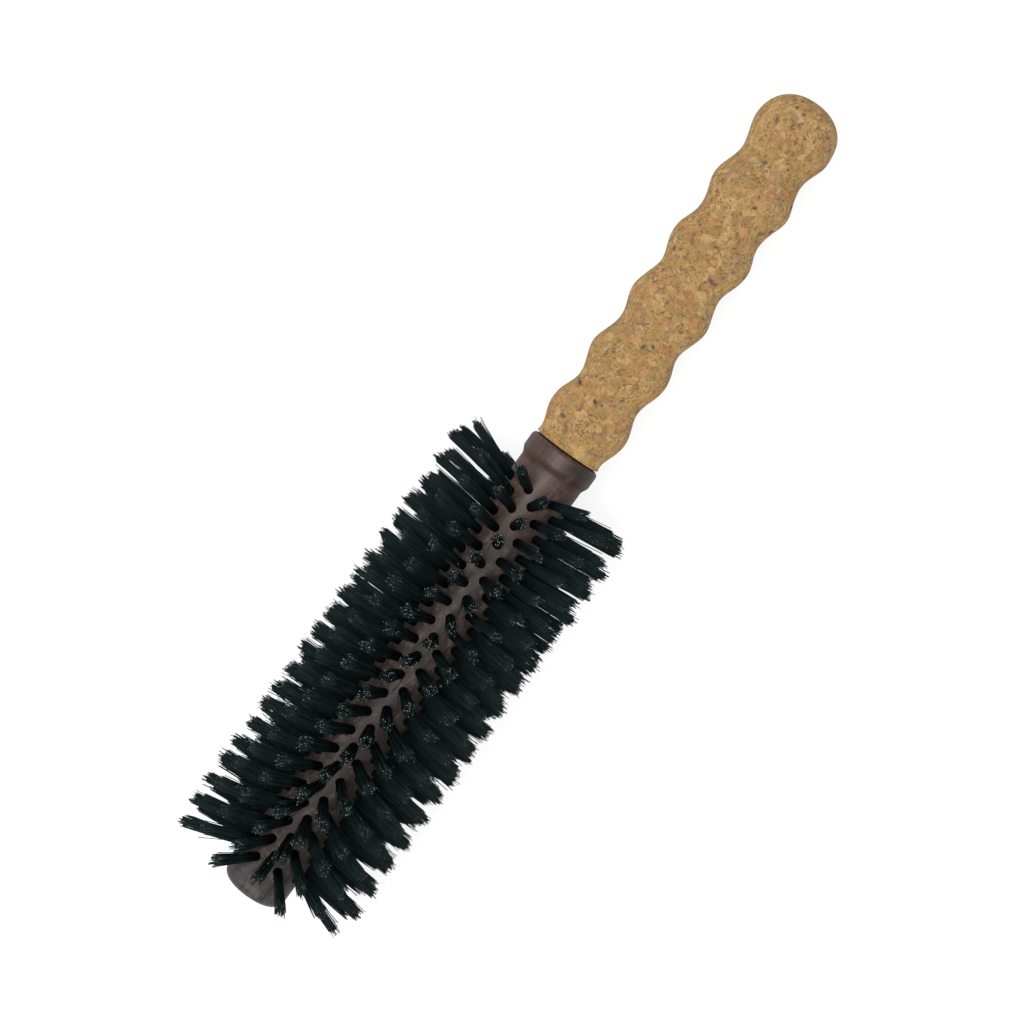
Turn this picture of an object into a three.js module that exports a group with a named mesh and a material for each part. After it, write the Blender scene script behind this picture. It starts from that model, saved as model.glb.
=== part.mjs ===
// A round hair brush lying on its bristles: a turned wooden barrel filled with swirled rows of
// bristle tufts, and a cork grip carried on a hardwood core. Millimetres, +Z up, +X towards the
// end of the grip. The origin is under the middle of the brush, on the surface it lies on.
import * as THREE from 'three';
import { mergeVertices } from 'three/addons/utils/BufferGeometryUtils.js';

// ---- driving dimensions ---------------------------------------------------------------------
const LENGTH = 280;
const TIP_X = -LENGTH / 2;
const END_X = LENGTH / 2;
const COLLAR_X = 19.3; // where the wood ends and the cork begins
const AXIS_HEIGHT = 29; // over the surface, which presses the lowest bristles a little flat
const GAP = 0.3; // between pieces that touch on the real brush

const BARREL_TIP_R = 10;
const BARREL_NECK_R = 10.25;
const TIP_FLAT_R = 3.5; // the flat that the lathe leaves at the middle of the free end
const TIP_DOME = 0.8; // how far the end face falls away outside that flat
const TIP_EDGE_R = 3;
const LIP_R = 11.25;
const LIP_LENGTH = 7.5;
const LIP_RISE = 2.6; // the length of the soft step up to the lip
const LIP_EDGE_R = 1.4;

const CORE_R = 4.2;
const CORE_IN_GRIP = 92;
const BORE_X = -131; // the blind end of the barrel's bore

const GRIP_MEAN_R = 11.32;
const GRIP_WAVE_R = 1.12;
const GRIP_PITCH = 19.57;
const GRIP_FIRST_BULGE = 10.8; // from the start of the cork
const GRIP_BULGES = 5; // before the ball at the end
const GRIP_START = { swell: 0.05, fade: 4 }; // the grip is a little thicker at the collar
const GRIP_EDGE = 0.6; // the broken edge of the cork at the collar
const GRIP_END_POWER = 0.87; // makes the rounded end a little blunter than an ellipse, which is 1
const GRIP_FLAT_R = 2.5; // the flat at the middle of the rounded end
const GRIP_STEPS = 6; // along each bulge, and along the rounded end

const ROWS = 16;
const RINGS = 38; // every second row has its tufts on the even rings, the others on the odd ones
const RING_PITCH = 3.576;
const FIRST_RING_X = -127.45;
const TWIST = THREE.MathUtils.degToRad(2.13); // how far a row turns from one ring to the next
const FIRST_ANGLE = THREE.MathUtils.degToRad(-25.9); // of row 1 at the first ring, from +Z to -Y
const TIP_LEAN = { slope: -0.172, fade: 21 }; // tufts fan out over both ends of the barrel
const NECK_LEAN = { slope: 0.25, fade: 17 };

const WIRE = 0.7; // the wire that draws a row's tufts in from inside the barrel
const WIRE_R = CORE_R + GAP + WIRE; // from the axis to the outside of the wires
const BORE_R = WIRE_R + GAP;
const FOLD_WIDTH = 1.9; // of a tuft along the barrel, where it is folded over the wire
const TUFT_END_WIDTH = 4.2;
const TUFT_REACH = 29.3; // from the barrel's axis to the ends of the bristles

const LATHE_STEPS = 24;

const { PI, cos, sin, exp } = Math;

// ---- materials ------------------------------------------------------------------------------
const material = (color, roughness, metalness = 0) =>
  new THREE.MeshStandardMaterial({ color, roughness, metalness });
const WOOD = material(0x51423d, 0.42);
const CORK = material(0xb68f5f, 0.85);
const CORE_WOOD = material(0xc9a878, 0.7);
const BRISTLE = material(0x1b2122, 0.5);

// ---- solids ---------------------------------------------------------------------------------
function welded(geometry) {
  geometry.deleteAttribute('normal');
  geometry.deleteAttribute('uv');
  const merged = mergeVertices(geometry, 1e-4);
  const index = merged.getIndex().array;
  const kept = [];
  for (let i = 0; i < index.length; i += 3) {
    const [a, b, c] = [index[i], index[i + 1], index[i + 2]];
    if (a !== b && b !== c && c !== a) kept.push(a, b, c);
  }
  merged.setIndex(kept);
  return merged;
}

// Turns a profile of [x along the brush, radius] pairs about the brush's axis.
function turned(profile) {
  const points = profile.map(([x, r]) => new THREE.Vector2(r, x));
  return new THREE.LatheGeometry(points, LATHE_STEPS).rotateZ(-PI / 2);
}

// A rounded corner of a profile, from angle0 to angle1 about its centre.
function corner(x, r, radius, angle0, angle1, steps = 3) {
  return Array.from({ length: steps + 1 }, (_, i) => {
    const angle = angle0 + ((angle1 - angle0) * i) / steps;
    return [x + radius * cos(angle), r + radius * sin(angle)];
  });
}

// ---- where the tufts stand ------------------------------------------------------------------
const barrelRadius = (x) =>
  BARREL_TIP_R + ((BARREL_NECK_R - BARREL_TIP_R) * (x - TIP_X)) / (COLLAR_X - TIP_X);

const ringX = (ring) => FIRST_RING_X + ring * RING_PITCH;

const lean = (x) =>
  TIP_LEAN.slope * exp((ringX(0) - x) / TIP_LEAN.fade) +
  NECK_LEAN.slope * exp((x - ringX(RINGS - 1)) / NECK_LEAN.fade);

const swirlAngle = (x, row) =>
  FIRST_ANGLE + (row * 2 * PI) / ROWS + ((x - FIRST_RING_X) / RING_PITCH) * TWIST;

const ringsOf = (row) =>
  Array.from({ length: RINGS / 2 }, (_, i) => (row % 2) + 2 * i);

// Collects the vertices and faces of a mesh that is put together by hand.
function meshMaker() {
  const positions = [];
  const index = [];
  const axis = new THREE.Vector3(1, 0, 0);
  return {
    // A point r out from the axis and to one side of that line, turned about the axis. None goes
    // through the surface that the brush lies on.
    vertex(x, across, r, angle) {
      const point = new THREE.Vector3(x, across, r).applyAxisAngle(axis, angle);
      point.z = Math.max(point.z, -AXIS_HEIGHT);
      return positions.push(...point) / 3 - 1;
    },
    face(...corners) {
      for (let i = 2; i < corners.length; i++) index.push(corners[0], corners[i - 1], corners[i]);
    },
    geometry() {
      const geometry = new THREE.BufferGeometry();
      geometry.setAttribute('position', new THREE.Float32BufferAttribute(positions, 3));
      geometry.setIndex(index);
      return welded(geometry);
    },
  };
}

// How wide a tuft is at a distance from the axis, from its fold to its ends.
const flare = (r, foldWidth) =>
  foldWidth + ((TUFT_END_WIDTH - foldWidth) * (r - WIRE_R)) / (TUFT_REACH - WIRE_R);

// How far along the barrel a leaning tuft has moved at a distance from the axis.
const leanShift = (x, r) => lean(x) * (r - barrelRadius(x));

// A row is one body, like a comb: the wire is its back, and the tufts drawn in by it its teeth.
function tuftRow(row) {
  const mesh = meshMaker();
  let last;
  for (const ring of ringsOf(row)) {
    const x = ringX(ring);
    const at = (along, side, r) => {
      const width = r > WIRE_R ? TUFT_END_WIDTH : FOLD_WIDTH;
      const thickness = r > WIRE_R ? TUFT_END_WIDTH : WIRE;
      const placeX = x + leanShift(x, r) + (along * width) / 2;
      return mesh.vertex(placeX, (side * thickness) / 2, r, swirlAngle(x, row));
    };
    // The wire is three-sided, with one edge towards the barrel's core.
    const wire = [-1, 1].map((along) =>
      [at(along, 0, WIRE_R - WIRE), at(along, -1, WIRE_R), at(along, 1, WIRE_R)]);
    const [[low0, right0, left0], [low1, right1, left1]] = wire;
    const corners = [[-1, -1], [1, -1], [1, 1], [-1, 1]];
    const [e0, e1, e2, e3] = corners.map(([along, side]) => at(along, side, TUFT_REACH));
    mesh.face(low0, low1, right1, right0);
    mesh.face(low1, low0, left0, left1);
    mesh.face(right0, right1, e1, e0);
    mesh.face(right1, left1, e2, e1);
    mesh.face(left1, left0, e3, e2);
    mesh.face(left0, right0, e0, e3);
    mesh.face(e0, e1, e2, e3);
    if (last) {
      const [low, right, left] = last;
      mesh.face(low, low0, right0, right);
      mesh.face(low0, low, left, left0);
      mesh.face(right, right0, left0, left);
    } else {
      mesh.face(low0, right0, left0);
    }
    last = wire[1];
  }
  mesh.face(last[0], last[2], last[1]);
  return mesh.geometry();
}

// ---- barrel ---------------------------------------------------------------------------------
// The barrel is turned from a profile with ROWS flats that follow the swirl, so each tuft's hole
// lies within one flat. It starts on the axis at the tip, runs along the outside to the collar
// and comes back along the bore to its blind end.
function barrel() {
  const lipX = COLLAR_X - LIP_LENGTH;
  const neckR = barrelRadius(lipX);
  const lipStep = (share) => [lipX + LIP_RISE * share, neckR + (LIP_R - neckR) * share];
  const cellX = Array.from({ length: RINGS / 2 + 1 }, (_, i) => ringX(2 * i - 0.5));
  const profile = [
    [TIP_X, TIP_FLAT_R],
    ...corner(TIP_X + TIP_DOME + TIP_EDGE_R, BARREL_TIP_R - TIP_EDGE_R, TIP_EDGE_R, PI, PI / 2, 4),
    ...cellX.map((x) => [x, barrelRadius(x)]),
    [lipX, neckR],
    lipStep(0.5),
    lipStep(1),
    ...corner(COLLAR_X - LIP_EDGE_R, LIP_R - LIP_EDGE_R, LIP_EDGE_R, PI / 2, 0),
    [COLLAR_X, BORE_R],
    ...cellX.toReversed().map((x) => [x, BORE_R]),
    [BORE_X, BORE_R],
  ];

  // The corners of a tuft's hole where it meets the outside or the bore.
  const mesh = meshMaker();
  const holeCorners = (row, ring, outside) => {
    const x = ringX(ring);
    const r = outside ? barrelRadius(x) : BORE_R;
    const along = flare(r, FOLD_WIDTH) / 2 + GAP;
    const across = flare(r, WIRE) / 2 + GAP;
    const height = Math.sqrt(r * r - across * across);
    return [[-1, 1], [-1, -1], [1, -1], [1, 1]].map(([end, side]) =>
      mesh.vertex(x + leanShift(x, r) + end * along, side * across, height, swirlAngle(x, row)));
  };
  const frame = (outer, inner) => {
    for (let i = 0; i < 4; i++) {
      const next = (i + 1) % 4;
      mesh.face(outer[i], outer[next], inner[next], inner[i]);
    }
  };

  const rings = profile.map(([x, r]) =>
    Array.from({ length: ROWS }, (_, row) => mesh.vertex(x, 0, r, swirlAngle(x, row - 0.5))));
  for (let i = 0; i + 1 < rings.length; i++) {
    const [x0, x1] = [profile[i][0], profile[i + 1][0]];
    const cell = cellX.indexOf(Math.min(x0, x1));
    const drilled = cell >= 0 && cellX[cell + 1] === Math.max(x0, x1);
    for (let row = 0; row < ROWS; row++) {
      const next = (row + 1) % ROWS;
      const corners = [rings[i][row], rings[i][next], rings[i + 1][next], rings[i + 1][row]];
      if (!drilled) {
        mesh.face(...corners);
        continue;
      }
      const ring = 2 * cell + (row % 2);
      const inside = holeCorners(row, ring, false);
      if (x0 < x1) {
        const outside = holeCorners(row, ring, true);
        frame(corners, outside);
        frame(outside, inside);
      } else {
        frame(corners, [inside[3], inside[2], inside[1], inside[0]]);
      }
    }
  }
  const tip = mesh.vertex(TIP_X, 0, 0, 0);
  const blindEnd = mesh.vertex(BORE_X, 0, 0, 0);
  for (let row = 0; row < ROWS; row++) {
    const next = (row + 1) % ROWS;
    mesh.face(tip, rings[0][next], rings[0][row]);
    mesh.face(blindEnd, rings.at(-1)[row], rings.at(-1)[next]);
  }
  return mesh.geometry();
}

// ---- handle ---------------------------------------------------------------------------------
function gripRadius(x) {
  const wave = GRIP_MEAN_R + GRIP_WAVE_R * cos((2 * PI * (x - GRIP_FIRST_BULGE)) / GRIP_PITCH);
  return wave * (1 + GRIP_START.swell * exp(-x / GRIP_START.fade));
}

function corkGrip() {
  const length = END_X - COLLAR_X - GAP;
  const ballX = GRIP_FIRST_BULGE + GRIP_BULGES * GRIP_PITCH;
  const profile = [[0, CORE_R + GAP], [0, gripRadius(0) - GRIP_EDGE]];
  const step = GRIP_PITCH / GRIP_STEPS;
  for (let x = GRIP_EDGE; x < ballX - step / 2; x += step) profile.push([x, gripRadius(x)]);
  // The rounded end runs out in a small flat.
  const ballR = gripRadius(ballX);
  const flatAngle = Math.asin((GRIP_FLAT_R / ballR) ** (1 / GRIP_END_POWER));
  const ballLength = (length - ballX) / cos(flatAngle) ** GRIP_END_POWER;
  for (let i = 0; i <= GRIP_STEPS; i++) {
    const angle = PI / 2 + ((flatAngle - PI / 2) * i) / GRIP_STEPS;
    const [along, across] = [cos(angle), sin(angle)].map((v) => Math.max(v, 0) ** GRIP_END_POWER);
    profile.push([ballX + ballLength * along, ballR * across]);
  }
  profile.push([length, 0], [CORE_IN_GRIP + GAP, 0], [CORE_IN_GRIP + GAP, CORE_R + GAP]);
  profile.push(profile[0]);
  return welded(turned(profile).translate(COLLAR_X + GAP, 0, 0));
}

function handleCore() {
  const bevel = 0.8;
  const from = BORE_X + GAP;
  const to = COLLAR_X + CORE_IN_GRIP;
  return welded(turned([
    [from, 0],
    [from, CORE_R - bevel],
    [from + bevel, CORE_R],
    [to - bevel, CORE_R],
    [to, CORE_R - bevel],
    [to, 0],
  ]));
}

// ---- assembly -------------------------------------------------------------------------------
const brush = new THREE.Group();

function addPiece(name, geometry, pieceMaterial) {
  const mesh = new THREE.Mesh(geometry, pieceMaterial);
  mesh.name = name;
  brush.add(mesh);
}

addPiece('barrel', barrel(), WOOD);
addPiece('cork_grip', corkGrip(), CORK);
addPiece('handle_core', handleCore(), CORE_WOOD);
for (let row = 0; row < ROWS; row++) {
  const number = String(row + 1).padStart(2, '0');
  addPiece(`tuft_row_${number}`, tuftRow(row), BRISTLE);
}

brush.position.z = AXIS_HEIGHT;

const object = new THREE.Group();
object.add(brush);

export default object;
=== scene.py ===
"""A round hair brush lying on its bristles: drilled dark wood barrel, separate bristles, cork grip.

Metres, in the CAD frame: +X towards the end of the grip, +Z up. Lengths below are in millimetres
where a name ends in _MM. A slope is the way along the barrel for each unit of way outwards.
"""
import math

import bpy
import numpy as np
from mathutils import Matrix, Vector


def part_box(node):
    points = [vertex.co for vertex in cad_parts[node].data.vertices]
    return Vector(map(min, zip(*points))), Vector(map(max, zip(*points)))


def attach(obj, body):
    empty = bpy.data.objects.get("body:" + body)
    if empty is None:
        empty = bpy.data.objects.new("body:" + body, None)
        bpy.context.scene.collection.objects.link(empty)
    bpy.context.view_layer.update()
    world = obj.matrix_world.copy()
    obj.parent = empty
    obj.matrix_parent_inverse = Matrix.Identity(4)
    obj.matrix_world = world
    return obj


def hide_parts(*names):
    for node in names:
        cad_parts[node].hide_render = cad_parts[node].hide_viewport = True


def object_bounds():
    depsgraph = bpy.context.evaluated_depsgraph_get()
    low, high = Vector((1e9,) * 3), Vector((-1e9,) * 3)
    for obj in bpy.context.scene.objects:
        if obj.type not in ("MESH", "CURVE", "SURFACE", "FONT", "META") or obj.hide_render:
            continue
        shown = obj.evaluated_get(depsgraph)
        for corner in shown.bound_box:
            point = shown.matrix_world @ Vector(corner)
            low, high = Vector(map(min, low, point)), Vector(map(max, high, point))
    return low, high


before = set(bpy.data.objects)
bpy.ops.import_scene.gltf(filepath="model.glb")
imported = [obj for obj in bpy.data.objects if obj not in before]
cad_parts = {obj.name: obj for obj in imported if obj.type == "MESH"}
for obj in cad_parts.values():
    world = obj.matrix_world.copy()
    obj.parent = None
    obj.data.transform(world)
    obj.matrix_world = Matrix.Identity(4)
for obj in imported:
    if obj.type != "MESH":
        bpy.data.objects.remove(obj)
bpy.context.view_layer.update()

MM = 0.001

# ---- driving values ---------------------------------------------------------------------------
ROWS = 16
RINGS = 38
FIRST_RING_MM = 12.55  # from the barrel's free end
RING_PITCH_MM = 3.576
TWIST = math.radians(2.13)  # how far a row turns from one ring to the next
FIRST_ANGLE = math.radians(-25.9)  # of row 1 at the first ring, from +Z towards -Y
BARREL_TIP_R_MM = 10.0
BARREL_NECK_R_MM = 10.25
LIP_LENGTH_MM = 7.5
LIP_RISE_MM = 2.8
HOLE_R_MM = 1.35
BRISTLES = 110  # in a tuft
TUFT_ROOT_R_MM = 1.25
TUFT_END_R_MM = 2.15
BRISTLE_R_MM = 0.135

# The tufts lean towards the nearer end of the barrel, less with the distance from its last ring.
TIP_SLOPE, TIP_FADE_MM = 0.172, 21
NECK_SLOPE, NECK_FADE_MM = 0.12, 26
TOP_SLOPE, TOP_FADE_MM = 0.063, 12  # only the upper tufts at the neck
RING_SLOPE, NEAR_NECK_MM = 0.087, 45.0  # tilts the rings near the neck, their tops to the grip
LEAST_UPRIGHT = -0.4  # keeps that tilt small on the underside
TOP_TURN = 0.14  # from +Z towards +Y, where the rings lean most
PAIR_SLOPE = 0.034  # near the neck every two rings lean together
BENT_ROW, BENT_SLOPE = 11, 0.17  # counted from 0: its last tuft stands away from the others

rng = np.random.default_rng(7)
ANY_TURN = 6.28  # about a full turn, for random directions

wood_low, wood_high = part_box("barrel")
cork_low, cork_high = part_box("cork_grip")
TIP_X = wood_low.x
COLLAR_X = wood_high.x
END_X = cork_high.x
AXIS_Z = (cork_low.z + cork_high.z) / 2
LIP_R = (wood_high.y - wood_low.y) / 2
REACH = AXIS_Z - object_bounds()[0][2]  # from the axis to the ends of the bristles


def ring_x(ring):
    return TIP_X + (FIRST_RING_MM + ring * RING_PITCH_MM) * MM


def barrel_radius(x):
    """Of the barrel's straight part."""
    share = (x - TIP_X) / (COLLAR_X - TIP_X)
    return (BARREL_TIP_R_MM + (BARREL_NECK_R_MM - BARREL_TIP_R_MM) * share) * MM


def swirl_angle(x, row):
    ring = (x - ring_x(0)) / (RING_PITCH_MM * MM)
    return FIRST_ANGLE + row * 2 * math.pi / ROWS + ring * TWIST


def nearness_to_neck(x):
    """1 at the last ring, fading to 0 along the barrel."""
    from_neck = (ring_x(RINGS - 1) - x) / MM
    return math.exp(-(from_neck / NEAR_NECK_MM) ** 2)


def lean(x, angle):
    """Slope of a tuft along the barrel: the end tufts fan out, at the neck most on top."""
    from_tip = (x - ring_x(0)) / MM
    from_neck = (ring_x(RINGS - 1) - x) / MM
    upright = math.cos(angle + TOP_TURN)
    slope = NECK_SLOPE * math.exp(-from_neck / NECK_FADE_MM)
    slope += RING_SLOPE * max(LEAST_UPRIGHT, upright) * nearness_to_neck(x)
    slope += TOP_SLOPE * max(0.0, upright) * math.exp(-from_neck / TOP_FADE_MM)
    return slope - TIP_SLOPE * math.exp(-from_tip / TIP_FADE_MM)


# ---- meshes -----------------------------------------------------------------------------------
def add_mesh(name, points, faces, smooth=True):
    mesh = bpy.data.meshes.new(name)
    mesh.from_pydata([tuple(p) for p in points], [], [tuple(f) for f in faces])
    mesh.validate()
    if smooth:
        mesh.shade_smooth()
    else:
        mesh.shade_flat()
    piece = bpy.data.objects.new(name, mesh)
    bpy.context.scene.collection.objects.link(piece)
    return piece


def polar(x, r, angle):
    """A point at radius r from the brush's axis. Arrays are welcome."""
    return np.stack(np.broadcast_arrays(x, -r * np.sin(angle), AXIS_Z + r * np.cos(angle)), -1)


def arc(x, r, radius, start, end, steps):
    """A rounded corner of a profile, as (x, radius) pairs; angles in degrees."""
    angles = np.radians(np.linspace(start, end, steps + 1))
    return [(x + radius * math.cos(a), r + radius * math.sin(a)) for a in angles]


# ---- materials --------------------------------------------------------------------------------
class Nodes:
    """A short way to write a material's node tree."""

    def __init__(self, name):
        self.material = bpy.data.materials.new(name)
        self.material.use_nodes = True
        self.tree = self.material.node_tree
        self.shader = self.tree.nodes["Principled BSDF"]
        self.place = self.add("ShaderNodeTexCoord").outputs["Object"]

    def add(self, kind, settings=None, **inputs):
        """A node with its settings, and with values or links for its inputs (_ for a space)."""
        node = self.tree.nodes.new(kind)
        for key, value in (settings or {}).items():
            setattr(node, key, value)
        for key, value in inputs.items():
            self.put(node.inputs[key.replace("_", " ")], value)
        return node

    def put(self, socket, value):
        if isinstance(value, bpy.types.NodeSocket):
            self.tree.links.new(value, socket)
        else:
            socket.default_value = value

    def stretched(self, x, y, z):
        return self.add("ShaderNodeMapping", Vector=self.place, Scale=(x, y, z)).outputs[0]

    def noise(self, vector, scale, detail=4.0, rough=0.55):
        return self.add("ShaderNodeTexNoise", Vector=vector, Scale=scale, Detail=detail,
                        Roughness=rough).outputs[0]

    def ramp(self, factor, *stops):
        """Each stop is a position and a grey value or a colour."""
        node = self.add("ShaderNodeValToRGB", Fac=factor)
        points = node.color_ramp.elements
        while len(points) < len(stops):
            points.new(0.5)
        for point, (at, colour) in zip(points, stops):
            point.position = at
            point.color = (*colour, 1) if isinstance(colour, tuple) else (colour,) * 3 + (1,)
        return node.outputs[0]

    def rising(self, value, start, end):
        """0 up to the start and 1 from the end on; the end may be the smaller value."""
        node = self.add("ShaderNodeMapRange", Value=value)
        self.put(node.inputs["From Min"], start)
        self.put(node.inputs["From Max"], end)
        return node.outputs[0]

    def mix(self, factor, a, b, blend="MIX"):
        node = self.tree.nodes.new("ShaderNodeMix")
        node.data_type = "RGBA"
        node.blend_type = blend
        self.put(node.inputs[0], factor)
        # The node's colour sockets are inputs 6 and 7 and output 2.
        for socket, value in ((node.inputs[6], a), (node.inputs[7], b)):
            self.put(socket, (*value, 1) if isinstance(value, tuple) else value)
        return node.outputs[2]

    def math(self, operation, a, b=0.5):
        node = self.tree.nodes.new("ShaderNodeMath")
        node.operation = operation
        self.put(node.inputs[0], a)
        self.put(node.inputs[1], b)
        return node.outputs[0]

    def vector(self, operation, *values):
        node = self.tree.nodes.new("ShaderNodeVectorMath")
        node.operation = operation
        for socket, value in zip(node.inputs, values):
            self.put(socket, value)
        return node.outputs[0]

    def bump(self, height, distance, strength=1.0):
        bump = self.add("ShaderNodeBump", Height=height, Distance=distance, Strength=strength)
        self.put(self.shader.inputs["Normal"], bump.outputs[0])

    def set(self, **inputs):
        for key, value in inputs.items():
            self.put(self.shader.inputs[key.replace("_", " ")], value)
        return self.material


def barrel_wood():
    """Dark stained wood with a dull polish: fine grain, turning marks, mottles and scuffs."""
    m = Nodes("barrel_wood")
    grain = m.noise(m.stretched(50, 1000, 1000), 1.0, 6, 0.6)
    pores = m.noise(m.stretched(260, 3200, 3200), 1.0, 3, 0.7)
    marks = m.noise(m.stretched(900, 90, 90), 1.0, 4, 0.6)
    scuffs = m.noise(m.stretched(300, 480, 480), 1.0, 7, 0.7)
    mottles = m.noise(m.stretched(110, 190, 190), 1.0, 5, 0.65)
    position = m.add("ShaderNodeSeparateXYZ", Vector=m.place).outputs
    along, across = position[0], position[1]
    tip = m.rising(along, ring_x(1), TIP_X)
    neck = m.rising(along, ring_x(RINGS - 6), ring_x(RINGS))

    # Painted sheen greys the free end, painted shade darkens between the tufts, warm at the neck.
    wood_in_painted_shade = m.ramp(grain, (0.3, (0.018, 0.0138, 0.0122)), (0.7, (0.036, 0.0280, 0.0252)))
    painted_tip_sheen = m.ramp(grain, (0.3, (0.030, 0.0280, 0.0280)), (0.7, (0.058, 0.0555, 0.0560)))
    warm = m.ramp(grain, (0.3, (0.050, 0.0255, 0.0180)), (0.7, (0.083, 0.0480, 0.0360)))
    base = m.mix(neck, m.mix(tip, wood_in_painted_shade, painted_tip_sheen), warm)
    bare_wood, dark_scuff = (0.105, 0.076, 0.064), (0.030, 0.0160, 0.0150)
    base = m.mix(m.ramp(scuffs, (0.50, 0.0), (0.66, 0.7)), base, bare_wood)
    base = m.mix(m.ramp(scuffs, (0.28, 0.7), (0.45, 0.0)), base, dark_scuff)

    # Painted shade along the -Y side of the neck and in the hollow below the lip.
    painted_side_shade, side_shade_share = (0.022, 0.0130, 0.0120), 0.85
    shade_waves, shade_from, shade_full = 12 * MM, -4.0 * MM, -6.5 * MM
    wavy = m.math("MULTIPLY", m.math("SUBTRACT", mottles, 0.5), shade_waves)
    one_side = m.rising(m.math("ADD", across, wavy), shade_from, shade_full)
    one_side = m.math("MULTIPLY", m.math("MULTIPLY", one_side, neck), side_shade_share)
    base = m.mix(one_side, base, painted_side_shade)
    # Painted shade in the hollow at the foot of the lip's rise.
    painted_hollow_shade, hollow_width = (0.030, 0.0140, 0.0110), 1.6 * MM
    hollow_x = COLLAR_X - (LIP_LENGTH_MM - 0.6) * MM
    hollow = m.math("ABSOLUTE", m.math("SUBTRACT", along, hollow_x))
    hollow = m.ramp(m.math("DIVIDE", hollow, hollow_width), (0.2, 0.6), (1.0, 0.0))
    base = m.mix(hollow, base, painted_hollow_shade)
    lip_stain, lip_share = (0.030, 0.0165, 0.0150), 0.45
    lip = m.math("GREATER_THAN", along, COLLAR_X - (LIP_LENGTH_MM - 1.0) * MM)
    base = m.mix(m.math("MULTIPLY", lip, lip_share), base, lip_stain)

    lines = m.ramp(marks, (0.3, 0.78), (0.7, 1.12))
    flecks = m.ramp(pores, (0.30, 0.6), (0.42, 1.0))
    clouds = m.ramp(mottles, (0.36, 0.66), (0.50, 0.98), (0.66, 1.20))
    colour = base
    for shade in (lines, flecks, clouds):
        colour = m.mix(1.0, colour, shade, "MULTIPLY")
    m.bump(m.mix(0.5, grain, pores), 0.06 * MM, 0.4)
    # The polish has gone dull between the tufts.
    dull, glossy = 0.15, 0.32
    ends = m.math("MAXIMUM", neck, tip)
    polish = m.math("ADD", m.math("MULTIPLY", ends, glossy - dull), dull)
    return m.set(Base_Color=colour, Roughness=m.ramp(scuffs, (0.3, 0.46), (0.7, 0.62)),
                 Specular_IOR_Level=polish)


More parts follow.
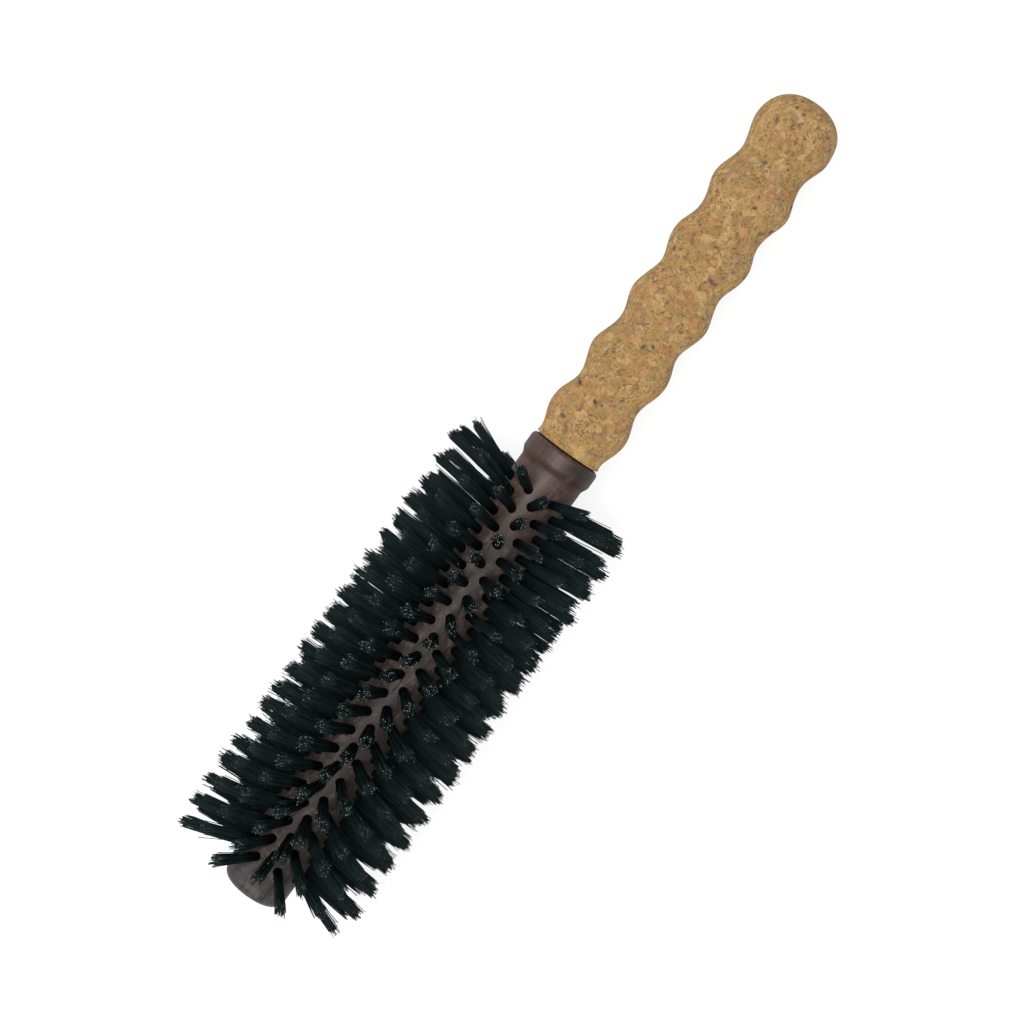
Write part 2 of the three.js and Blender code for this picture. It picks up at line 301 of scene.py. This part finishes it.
def cork():
    """Pressed cork: granules in several tans, each with a grain of its own, pits and bark."""
    m = Nodes("cork")
    large_cells, small_cells = 340.0, 800.0  # in a metre
    cell_softness = 0.15
    raggedness = 3.2 * MM
    wobble = m.add("ShaderNodeTexNoise", Vector=m.place, Scale=520.0, Detail=3.0).outputs["Color"]
    ragged = m.vector("MULTIPLY_ADD", wobble, (raggedness,) * 3, m.place)

    def soft_cells(scale):
        return m.add("ShaderNodeTexVoronoi", {"feature": "SMOOTH_F1"}, Vector=ragged, Scale=scale,
                     Smoothness=cell_softness).outputs["Color"]

    def parts(colour):
        return m.add("ShaderNodeSeparateColor", Color=colour).outputs

    large, small = parts(soft_cells(large_cells)), parts(soft_cells(small_cells))
    tan = m.ramp(large[0], (0.18, (0.256, 0.156, 0.056)), (0.42, (0.282, 0.172, 0.061)),
                 (0.62, (0.297, 0.179, 0.063)), (0.86, (0.336, 0.213, 0.084)))
    reddish = (0.300, 0.136, 0.055)
    tan = m.mix(m.ramp(large[1], (0.66, 0.0), (0.82, 0.5)), tan, reddish)
    tan = m.mix(1.0, tan, m.ramp(small[0], (0.2, 0.90), (0.8, 1.09)), "MULTIPLY")

    # The grain of a granule: streaks that change direction from one granule to the next.
    sharp_cells = m.add("ShaderNodeTexVoronoi", {"feature": "F1"}, Vector=ragged,
                        Scale=large_cells).outputs["Color"]
    full_turn = 6.3
    heading = m.vector("MULTIPLY", sharp_cells, (full_turn,) * 3)
    turned = m.add("ShaderNodeVectorRotate", {"rotation_type": "EULER_XYZ"}, Vector=m.place,
                   Rotation=heading).outputs[0]
    streaks = m.noise(m.vector("MULTIPLY", turned, (300, 1500, 1500)), 1.0, 4, 0.65)
    tan = m.mix(1.0, tan, m.ramp(streaks, (0.30, 0.78), (0.48, 1.0), (0.72, 1.10)), "MULTIPLY")

    # Browner, slightly purple areas, and pale flakes.
    brown, straw = (0.200, 0.134, 0.090), (0.42, 0.32, 0.18)
    tan = m.mix(m.ramp(m.noise(m.place, 150, 3, 0.6), (0.54, 0.0), (0.72, 0.5)), tan, brown)
    tan = m.mix(m.ramp(small[1], (0.88, 0.0), (0.92, 0.4)), tan, straw)

    # In patches: short dark dashes along the grain, broken joints between granules, and specks.
    patches = m.ramp(m.noise(m.place, 210, 2), (0.40, 0.5), (0.58, 1.0))
    dash = m.add("ShaderNodeTexVoronoi", Scale=1.0,
                 Vector=m.vector("MULTIPLY", turned, (300, 1250, 1250))).outputs
    dashes = m.math("MULTIPLY", m.ramp(dash["Distance"], (0.24, 1.0), (0.36, 0.0)),
                    m.ramp(parts(dash["Color"])[0], (0.42, 0.0), (0.60, 1.0)))
    edges = m.add("ShaderNodeTexVoronoi", {"feature": "DISTANCE_TO_EDGE"}, Vector=ragged,
                  Scale=large_cells).outputs[0]
    joints = m.math("MULTIPLY", m.ramp(edges, (0.025, 1.0), (0.075, 0.0)),
                    m.ramp(m.noise(m.place, 700, 1), (0.52, 0.0), (0.58, 1.0)))
    specks = m.ramp(m.noise(ragged, 1250, 2), (0.66, 0.0), (0.70, 1.0))
    thin = m.math("MAXIMUM", m.math("MAXIMUM", dashes, joints), specks)
    thin = m.math("MULTIPLY", thin, patches)
    bark, bark_share = (0.105, 0.062, 0.036), 0.8
    tan = m.mix(m.math("MULTIPLY", thin, bark_share), tan, bark)

    # The pits are brown at their edges and nearly black inside.
    pit_edge, pit_inside = (0.150, 0.088, 0.062), (0.036, 0.026, 0.020)
    pit = m.add("ShaderNodeAttribute", {"attribute_name": "pit"}).outputs["Fac"]
    tan = m.mix(m.ramp(pit, (0.02, 0.0), (0.30, 0.5)), tan, pit_edge)
    colour = m.mix(m.ramp(pit, (0.25, 0.0), (0.85, 0.92)), tan, pit_inside)
    m.bump(m.math("SUBTRACT", m.math("MULTIPLY", streaks, 0.7), thin), 0.18 * MM, 0.7)
    return m.set(Base_Color=colour, Roughness=0.82, Specular_IOR_Level=0.2,
                 Diffuse_Roughness=0.5)


def bristle():
    m = Nodes("bristle")
    strands = m.noise(m.place, 1500, 2, 0.5)
    colour = m.ramp(strands, (0.3, (0.0080, 0.0148, 0.0168)), (0.7, (0.0110, 0.0192, 0.0212)))
    return m.set(Base_Color=colour, Roughness=0.6, Specular_IOR_Level=0.06)


def bristle_end_glint():
    """Painted glints: the pale cut ends of some of the bristles."""
    m = Nodes("bristle_end_glint")
    pale = m.noise(m.place, 2500, 1)
    colour = m.ramp(pale, (0.35, (0.09, 0.11, 0.085)), (0.65, (0.30, 0.32, 0.22)))
    return m.set(Base_Color=colour, Roughness=0.5)


def core_wood():
    m = Nodes("core_wood")
    grain = m.noise(m.stretched(40, 700, 700), 1.0, 5)
    colour = m.ramp(grain, (0.3, (0.42, 0.28, 0.15)), (0.7, (0.62, 0.45, 0.27)))
    m.bump(grain, 0.1 * MM, 0.4)
    return m.set(Base_Color=colour, Roughness=0.7)


# ---- barrel -----------------------------------------------------------------------------------
CELL_SIDE = 5  # segments on each side of a tuft's cell
HOLE_CHAMFER_MM, HOLE_MOUTH_MM = 0.1, 0.08  # how much wider and how deep the worn rim is
HOLE_DEPTH_MM = 3.0
HOLE_BOTTOM_SHARE = 0.95  # of the hole's radius
PLAIN_MM = 7  # from the free end, on the plain stretch before the first holes
EDGE_R_MM = 3.0  # rounds the free end
DOME_MM = 0.8  # how far the free end's middle stands out
DOME_POINTS_MM = [(0.3, 5.2), (0.0, 3.5), (0.0, 1.5)]  # way from the end, and radius
FACE_POINT_MM = 6.0  # a ring of points on the flat face that meets the cork
NECK_MM = 2  # from the lip, on the neck
LIP_EDGE_R_MM = 1.4
LIP_POINTS = 9  # of the rise from the neck to the lip


def barrel():
    """The turned barrel with a hole under every tuft.

    Its drilled part is a sheet of cells, one for each tuft, whose edges follow the swirl. Every
    cell has CELL_SIDE segments on each side, and its hole rings of as many points as the cell.
    """
    around = ROWS * CELL_SIDE
    cell_edges = [ring_x(2 * i - 0.5) for i in range(RINGS // 2 + 1)]
    points, faces, sharp = [], [], set()

    def add(new_points):
        start = len(points)
        points.extend(new_points)
        return list(range(start, start + len(new_points)))

    def band(a, b):
        for i in range(len(a)):
            j = (i + 1) % len(a)
            faces.append((a[i], a[j], b[j], b[i]))

    def circle(x, r):
        rows = (np.arange(around) / CELL_SIDE) - 0.5
        return add(polar(x, r, swirl_angle(x, rows)))

    # The grid of the cells' segments: grid_x[i] along the barrel, `around` lines round it.
    grid_x = np.concatenate([np.linspace(a, b, CELL_SIDE + 1)[:-1]
                             for a, b in zip(cell_edges, cell_edges[1:])] + [[cell_edges[-1]]])
    on_edge = {}

    def grid_point(i, j):
        """Only points on the edges of cells are made: inside a cell the hole's rings take over."""
        j %= around
        if (i, j) not in on_edge:
            x = grid_x[i]
            angle = swirl_angle(x, j / CELL_SIDE - 0.5)
            on_edge[i, j] = add(polar(x, barrel_radius(x), angle)[None])[0]
        return on_edge[i, j]

    def cell_outline(cell, row):
        i0, j0, side = cell * CELL_SIDE, row * CELL_SIDE, CELL_SIDE
        return ([grid_point(i0, j0 + s) for s in range(side)]
                + [grid_point(i0 + s, j0 + side) for s in range(side)]
                + [grid_point(i0 + side, j0 + side - s) for s in range(side)]
                + [grid_point(i0 + side - s, j0) for s in range(side)])

    # The directions of a hole's points, from the cell's first corner on.
    turn = np.radians(-135 - 360 * np.arange(4 * CELL_SIDE) / (4 * CELL_SIDE))

    def hole_ring(x, angle, radius_mm, depth_mm):
        """A ring of a hole's wall, which leans as its tuft does."""
        r = barrel_radius(x)
        u = radius_mm * MM * np.cos(turn)
        v = radius_mm * MM * np.sin(turn)
        shift = lean(x, angle) * depth_mm * MM
        return add(polar(x + u - shift, r - depth_mm * MM, angle + v / r))

    for cell in range(RINGS // 2):
        for row in range(ROWS):
            outline = cell_outline(cell, row)
            x = ring_x(2 * cell + row % 2)
            angle = swirl_angle(x, row)
            rim = hole_ring(x, angle, HOLE_R_MM + HOLE_CHAMFER_MM, 0.0)
            mouth = hole_ring(x, angle, HOLE_R_MM, HOLE_MOUTH_MM)
            bottom = hole_ring(x, angle, HOLE_R_MM * HOLE_BOTTOM_SHARE, HOLE_DEPTH_MM)
            band(outline, rim)
            band(rim, mouth)
            band(mouth, bottom)
            faces.append(tuple(bottom))
            sharp.update(zip(rim, rim[1:] + rim[:1]))

    # The free end, from the first cells to the middle of the end face.
    plain_x = TIP_X + PLAIN_MM * MM
    edge_r = EDGE_R_MM * MM
    free_end = [(plain_x, barrel_radius(plain_x))]
    free_end += arc(TIP_X + DOME_MM * MM + edge_r, BARREL_TIP_R_MM * MM - edge_r, edge_r,
                    90, 165, 10)
    free_end += [(TIP_X + x * MM, r * MM) for x, r in DOME_POINTS_MM]
    centre = add(polar(TIP_X, 0.0, 0.0)[None])[0]
    last = [grid_point(0, j) for j in range(around)]
    for x, r in free_end:
        ring = circle(x, r)
        band(ring, last)
        last = ring
    faces.extend((centre, last[(i + 1) % around], last[i]) for i in range(around))

    # The neck, and the lip with its smooth rise and rounded edge.
    lip_x = COLLAR_X - LIP_LENGTH_MM * MM
    neck_x = lip_x - NECK_MM * MM
    neck_r = barrel_radius(lip_x)
    edge_r = LIP_EDGE_R_MM * MM
    share = np.linspace(0, 1, LIP_POINTS)
    rise = share * share * (3 - 2 * share)
    collar = [(neck_x, barrel_radius(neck_x))]
    collar += list(zip(lip_x + share * LIP_RISE_MM * MM, neck_r + (LIP_R - neck_r) * rise))
    collar += arc(COLLAR_X - edge_r, LIP_R - edge_r, edge_r, 90, 0, 8)
    collar += [(COLLAR_X, FACE_POINT_MM * MM)]
    last = [grid_point(len(grid_x) - 1, j) for j in range(around)]
    for x, r in collar:
        ring = circle(x, r)
        band(last, ring)
        last = ring
    middle = add(polar(COLLAR_X, 0.0, 0.0)[None])[0]
    faces.extend((middle, last[i], last[(i + 1) % around]) for i in range(around))
    piece = add_mesh("drilled_barrel", points, faces)
    for edge in piece.data.edges:
        a, b = edge.vertices
        edge.use_edge_sharp = (a, b) in sharp or (b, a) in sharp
    return piece


# ---- cork grip --------------------------------------------------------------------------------
GRIP_MEAN_MM, GRIP_WAVE_MM = 11.32, 1.12
GRIP_PITCH_MM, GRIP_FIRST_MM = 19.57, 10.8  # between bulges, and of the first from the collar
BULGES = 5
GRIP_START_SWELL, GRIP_START_MM = 0.03, 4.0  # a little thicker where it meets the collar
GRIP_EDGE_MM = 0.7
GRIP_FACE_POINTS_MM = (4.6, 8.0)  # two rings of points on the flat face at the collar
GRIP_END_POWER = 0.87  # below 1: the rounded end is fuller than half an ellipse
GRIP_AROUND, GRIP_STEPS, GRIP_END_STEPS = 250, 290, 50
UNEVEN_WAVES, UNEVEN_MM = 24, 0.018
CALM_R_MM, SMOOTH_R_MM = 5, 3  # no waves within the first radius, and no pits within the second
PITS = 420
PIT_RANGE_MM = (2, 119)  # from the collar
PIT_GROUP_MM, PIT_GROUP_TURN = 1.6, 0.14  # how far the pits of a group lie apart
PIT_LEAST_MM, PIT_MORE_MM = 0.18, 0.14  # the least half width, and what is added on average
PIT_STRETCH = (1.0, 2.6)
PIT_BEND = 0.5
PIT_DEPTH_MM = (0.06, 0.2)
PIT_DARKNESS = (0.25, 1.0)


def grip_profile():
    """In millimetres from the flat end at the collar, over the bulges, to the rounded end."""
    length = (END_X - cork_low.x) / MM
    ball_x = GRIP_FIRST_MM + BULGES * GRIP_PITCH_MM

    def radius(x):
        wave = GRIP_WAVE_MM * math.cos(2 * math.pi * (x - GRIP_FIRST_MM) / GRIP_PITCH_MM)
        return (GRIP_MEAN_MM + wave) * (1 + GRIP_START_SWELL * math.exp(-x / GRIP_START_MM))

    edge = GRIP_EDGE_MM
    profile = [(0.0, r) for r in GRIP_FACE_POINTS_MM]
    profile += arc(edge, radius(0) - edge, edge, 180, 90, 4)
    profile += [(x, radius(x)) for x in np.linspace(1.1 * edge, ball_x, GRIP_STEPS)]
    for angle in np.linspace(math.pi / 2, 0, GRIP_END_STEPS)[1:-1]:
        along, across = math.cos(angle) ** GRIP_END_POWER, math.sin(angle) ** GRIP_END_POWER
        profile.append((ball_x + (length - ball_x) * along, radius(ball_x) * across))
    return np.array(profile)


def pit_centres():
    """Along the grip and round it, most of them in loose groups."""
    centres = []
    while len(centres) < PITS:
        x0, a0 = rng.uniform(*PIT_RANGE_MM), rng.uniform(0, 2 * np.pi)
        for _ in range(rng.integers(1, 5)):
            centres.append((x0 + rng.normal(0, PIT_GROUP_MM), a0 + rng.normal(0, PIT_GROUP_TURN)))
    return centres


def grip():
    """The turned cork sleeve, with a slightly uneven skin and small pits between the granules."""
    profile = grip_profile()
    turn = 2 * np.pi * np.arange(GRIP_AROUND) / GRIP_AROUND
    along, radius = profile[:, :1], profile[:, 1:]
    depth = np.zeros((len(profile), GRIP_AROUND))
    darkness = np.zeros_like(depth)
    # Pits: short bent troughs.
    for x0, a0 in pit_centres():
        size = PIT_LEAST_MM + rng.exponential(PIT_MORE_MM)
        stretch, heading = rng.uniform(*PIT_STRETCH), rng.uniform(0, np.pi)
        near = np.flatnonzero(abs(along[:, 0] - x0) < 3 * size * stretch)
        if not len(near):
            continue
        rows = slice(near[0], near[-1] + 1)
        dx = along[rows] - x0
        da = (turn[None] - a0 + np.pi) % (2 * np.pi) - np.pi
        dy = da * radius[rows]
        u = (dx * math.cos(heading) + dy * math.sin(heading)) / (size * stretch)
        v = (dy * math.cos(heading) - dx * math.sin(heading)) / size
        v = v + rng.normal(0, PIT_BEND) * u * u
        trough = np.exp(-(u * u + v * v) ** 1.5)
        depth[rows] = np.maximum(depth[rows], trough * rng.uniform(*PIT_DEPTH_MM))
        darkness[rows] = np.maximum(darkness[rows], trough * rng.uniform(*PIT_DARKNESS))
    # A soft unevenness all over, from waves in random directions.
    uneven = np.zeros_like(depth)
    for _ in range(UNEVEN_WAVES):
        waves_round, waves_along = rng.integers(2, 9), rng.uniform(-0.9, 0.9)
        start = rng.uniform(0, ANY_TURN)
        uneven += np.sin(waves_round * turn[None] + waves_along * along + start)
    uneven *= UNEVEN_MM * np.clip((radius - CALM_R_MM) / CALM_R_MM, 0, 1)
    open_skin = (along > GRIP_EDGE_MM) & (radius > SMOOTH_R_MM)
    r = radius + np.where(open_skin, uneven - depth, 0)
    points = polar(cork_low.x + along * MM, r * MM, turn[None]).reshape(-1, 3)
    grid = np.arange(len(points)).reshape(len(profile), GRIP_AROUND)
    low, high = grid[:-1], grid[1:]
    walls = np.stack([low, np.roll(low, -1, 1), np.roll(high, -1, 1), high], -1).reshape(-1, 4)
    faces = walls.tolist() + [grid[0, ::-1].tolist(), grid[-1].tolist()]
    piece = add_mesh("cork_sleeve", points, faces)
    pit = piece.data.attributes.new("pit", "FLOAT", "POINT")
    pit.data.foreach_set("value", darkness.astype(np.float32).ravel())
    return piece


# ---- bristles ---------------------------------------------------------------------------------
SIDES = 3
LEVELS = np.array([0.0, 0.45, 0.85, 1.0])  # shares of a bristle's length
TAPER = np.array([1.0, 1.0, 0.95, 0.8])  # its thickness there
THICKNESS = (0.8, 1.15)  # from the thinnest to the thickest bristle
ROOT_DEPTH_MM = 1.0  # below the barrel's surface
GOLDEN_ANGLE = 2.39996  # spreads the roots evenly over a circle
SPREAD_POWER = 0.9  # below 1: a tuft spreads most at its root
BOW_MM = 0.10  # sideways, in the middle of a bristle
GROUND_MM = 0.05  # the lowest that a bristle gets
# Share of bristles whose cut ends are painted glints, and the wider radius of those ends.
PALE_SHARE = 0.15
PALE_END_R_MM = 0.17

# How the ends of a tuft scatter, as shares of its end radius.
CLUMPS = 6
CLUMP_SCATTER = 0.45  # of the clumps' middles
CLUMP_PULL = 0.35  # how much of the way to its clump's middle an end moves
CLUMP_DRIFT = 0.10  # of whole clumps
END_SCATTER = 0.16  # of single ends
STRAY_SHARE, STRAY_SCATTER = 0.12, 0.42

# How a tuft's place and shape vary.
SLOPE_SCATTER = 0.015  # along the barrel and round it
SLANT_SCATTER = 0.12  # of the cut over a tuft's end
SLIM_MM, SLIM_FADE_MM = 0.5, 12  # taken from the end radius near both ends of the barrel

# How the bristles' lengths vary.
BRISTLE_REACH_MM, TUFT_REACH_MM, CLUMP_REACH_MM = 0.25, 0.3, 0.35
LONG_SHARE, LONG_MM = 0.25, (0.2, 1.5)
SHORT_SHARE, SHORT_MM = 0.25, (0.5, 3.0)


def tuft_layout():
    """Every bristle's root and end, in a circle of radius 1, and the number of its clump."""
    order = np.arange(BRISTLES)
    spot = np.sqrt((order + 0.5) / BRISTLES)
    spin = order * GOLDEN_ANGLE + rng.uniform(0, ANY_TURN)
    root = spot[:, None] * np.stack([np.cos(spin), np.sin(spin)], 1)
    # The ends gather into a few clumps, each with a direction of its own.
    centres = rng.normal(0, CLUMP_SCATTER, (CLUMPS, 2))
    clump = ((root[:, None] - centres[None]) ** 2).sum(2).argmin(1)
    end = root + CLUMP_PULL * (centres[clump] - root) + rng.normal(0, END_SCATTER, root.shape)
    end = end + rng.normal(0, CLUMP_DRIFT, (CLUMPS, 2))[clump]
    stray = rng.uniform(0, 1, (BRISTLES, 1)) < STRAY_SHARE
    return root, end + stray * rng.normal(0, STRAY_SCATTER, root.shape), clump


def bristle_reach(clump):
    """How far from the brush's axis every bristle ends."""
    reach = REACH + rng.normal(0, BRISTLE_REACH_MM * MM, BRISTLES)
    reach = reach + rng.normal(0, TUFT_REACH_MM * MM)
    reach = reach + rng.normal(0, CLUMP_REACH_MM * MM, CLUMPS)[clump]
    longer = rng.uniform(0, 1, BRISTLES) < LONG_SHARE
    reach = reach + longer * rng.uniform(*LONG_MM, BRISTLES) * MM
    shorter = rng.uniform(0, 1, BRISTLES) < SHORT_SHARE
    return reach - shorter * rng.uniform(*SHORT_MM, BRISTLES) * MM


def tuft_points(x, row):
    """Every bristle of a tuft as a thin prism: an array (bristle, level, side, xyz).

    The second array marks the bristles with painted glints: pale cut ends, a little wider.
    """
    t = LEVELS[None]
    root, end, clump = tuft_layout()
    turn = swirl_angle(x, row)
    # Towards both ends the tufts are slimmer, and near the neck they lean together in pairs.
    near_neck = nearness_to_neck(x)
    near_tip = math.exp((ring_x(0) - x) / (SLIM_FADE_MM * MM))
    end_r = (TUFT_END_R_MM - SLIM_MM * near_neck - SLIM_MM * near_tip) * MM
    pairing = PAIR_SLOPE * (1 - 2 * (row % 2)) * near_neck
    slope = lean(x, turn) + rng.normal(0, SLOPE_SCATTER) + pairing
    at_last_ring = x > ring_x(RINGS - 1.5)
    if row == BENT_ROW and at_last_ring:
        slope += BENT_SLOPE
    reach = bristle_reach(clump) + rng.normal(0, SLANT_SCATTER) * end[:, 0] * end_r
    skew = rng.normal(0, SLOPE_SCATTER)
    bow = rng.normal(0, BOW_MM * MM, (BRISTLES, 2))
    root_depth = ROOT_DEPTH_MM * MM
    start_r = barrel_radius(x) - root_depth
    length = (reach - start_r)[:, None] * t
    root = root * TUFT_ROOT_R_MM * MM
    end = end * end_r
    spread = t ** SPREAD_POWER
    bend = np.sin(np.pi * t)
    along = root[:, :1] * (1 - spread) + end[:, :1] * spread + bow[:, :1] * bend
    across = root[:, 1:] * (1 - spread) + end[:, 1:] * spread + bow[:, 1:] * bend
    along = along + slope * (length - root_depth)
    across = across + skew * length
    thick = BRISTLE_R_MM * MM * rng.uniform(*THICKNESS, BRISTLES)[:, None] * TAPER[None]
    pale = rng.uniform(0, 1, BRISTLES) < PALE_SHARE
    thick[pale, -1] = PALE_END_R_MM * MM
    first_corner = rng.uniform(0, ANY_TURN, BRISTLES)[:, None]
    corner = first_corner + 2 * np.pi * np.arange(SIDES)[None] / SIDES
    px = along[..., None] + thick[..., None] * np.cos(corner)[:, None]
    py = across[..., None] + thick[..., None] * np.sin(corner)[:, None]
    pz = np.broadcast_to((start_r + length)[..., None], px.shape)
    c, s = math.cos(turn), math.sin(turn)
    points = np.stack([x + px, py * c - pz * s, AXIS_Z + py * s + pz * c], -1)
    # The surface that the brush lies on bends the lowest ends.
    points[..., 2] = np.maximum(points[..., 2], GROUND_MM * MM)
    return points, pale


def tuft_row(row):
    rings = range(row % 2, RINGS, 2)
    tufts = [tuft_points(ring_x(ring), row) for ring in rings]
    points, pale = (np.concatenate(arrays) for arrays in zip(*tufts))
    count, levels = len(points), len(LEVELS)
    grid = np.arange(count * levels * SIDES).reshape(count, levels, SIDES)
    low, high = grid[:, :-1], grid[:, 1:]
    walls = np.stack([low, np.roll(low, -1, 2), np.roll(high, -1, 2), high], -1).reshape(-1, 4)
    faces = walls.tolist() + grid[:, 0, ::-1].tolist() + grid[:, -1].tolist()
    piece = add_mesh(f"bristles_{row + 1:02d}", points.reshape(-1, 3), faces)
    # The last faces are the bristles' ends: pale painted glints have the second material.
    slots = np.zeros(len(faces), np.int32)
    slots[-count:] = pale
    piece.data.polygons.foreach_set("material_index", slots)
    return piece


# ---- assembly ---------------------------------------------------------------------------------
def dress(piece, materials, slot, *nodes):
    for material in materials:
        piece.data.materials.append(material)
    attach(piece, "root")
    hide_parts(*nodes)


dress(barrel(), [barrel_wood()], "barrel_wood", "barrel")
dress(grip(), [cork()], "cork", "cork_grip")
hair = [bristle(), bristle_end_glint()]
for row in range(ROWS):
    dress(tuft_row(row), hair, "bristle", f"tuft_row_{row + 1:02d}")
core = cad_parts["handle_core"]
core.data.materials.clear()
core.data.materials.append(core_wood())


# ---- floor, light and camera ------------------------------------------------------------------
def floor():
    half = 3.0
    corners = [(-half, -half, 0), (half, -half, 0), (half, half, 0), (-half, half, 0)]
    ground = add_mesh("floor", corners, [(0, 1, 2, 3)], smooth=False)
    m = Nodes("floor_white")
    ground.data.materials.append(m.set(Base_Color=(0.15, 0.15, 0.15, 1), Roughness=0.9,
                                       Emission_Color=(1, 1, 1, 1), Emission_Strength=0.83))


def area_light(name, place, target, size, power):
    light = bpy.data.lights.new(name, "AREA")
    light.shape = "DISK"
    light.size = size
    light.energy = power
    lamp = bpy.data.objects.new(name, light)
    lamp.location = place
    lamp.rotation_euler = (Vector(target) - Vector(place)).to_track_quat("-Z", "Y").to_euler()
    bpy.context.scene.collection.objects.link(lamp)


def world_light(strength):
    world = bpy.data.worlds.new("studio")
    world.use_nodes = True
    background = world.node_tree.nodes["Background"]
    background.inputs["Color"].default_value = (1, 1, 1, 1)
    background.inputs["Strength"].default_value = strength
    bpy.context.scene.world = world


def camera():
    """Above the brush, a little towards the grip, with the brush lying across the picture."""
    distance, tilt, slant = 0.600, math.radians(5.0), math.radians(54.24)
    aim = (-3.90 * MM, 2.60 * MM)  # along and across the brush, from its middle
    towards = Vector((math.sin(tilt), 0, math.cos(tilt)))
    along = Vector((math.cos(tilt), 0, -math.sin(tilt)))
    across = towards.cross(along)
    right = along * math.cos(slant) - across * math.sin(slant)
    up = along * math.sin(slant) + across * math.cos(slant)
    middle = Vector(((TIP_X + END_X) / 2, 0, AXIS_Z))
    place = middle + towards * distance + along * aim[0] + across * aim[1]
    data = bpy.data.cameras.new("camera")
    data.sensor_width = 36
    data.lens = 73.3
    data.clip_start = 0.01
    eye = bpy.data.objects.new("camera", data)
    axes = Matrix((right, up, towards)).transposed().to_4x4()
    eye.matrix_world = Matrix.Translation(place) @ axes
    bpy.context.scene.collection.objects.link(eye)
    bpy.context.scene.camera = eye


floor()
area_light("key", place=(-0.05, 0.08, 0.92), target=(-0.02, 0, 0.03), size=0.5, power=10.9)
world_light(strength=0.5)
camera()
bpy.context.scene.view_settings.view_transform = "Standard"
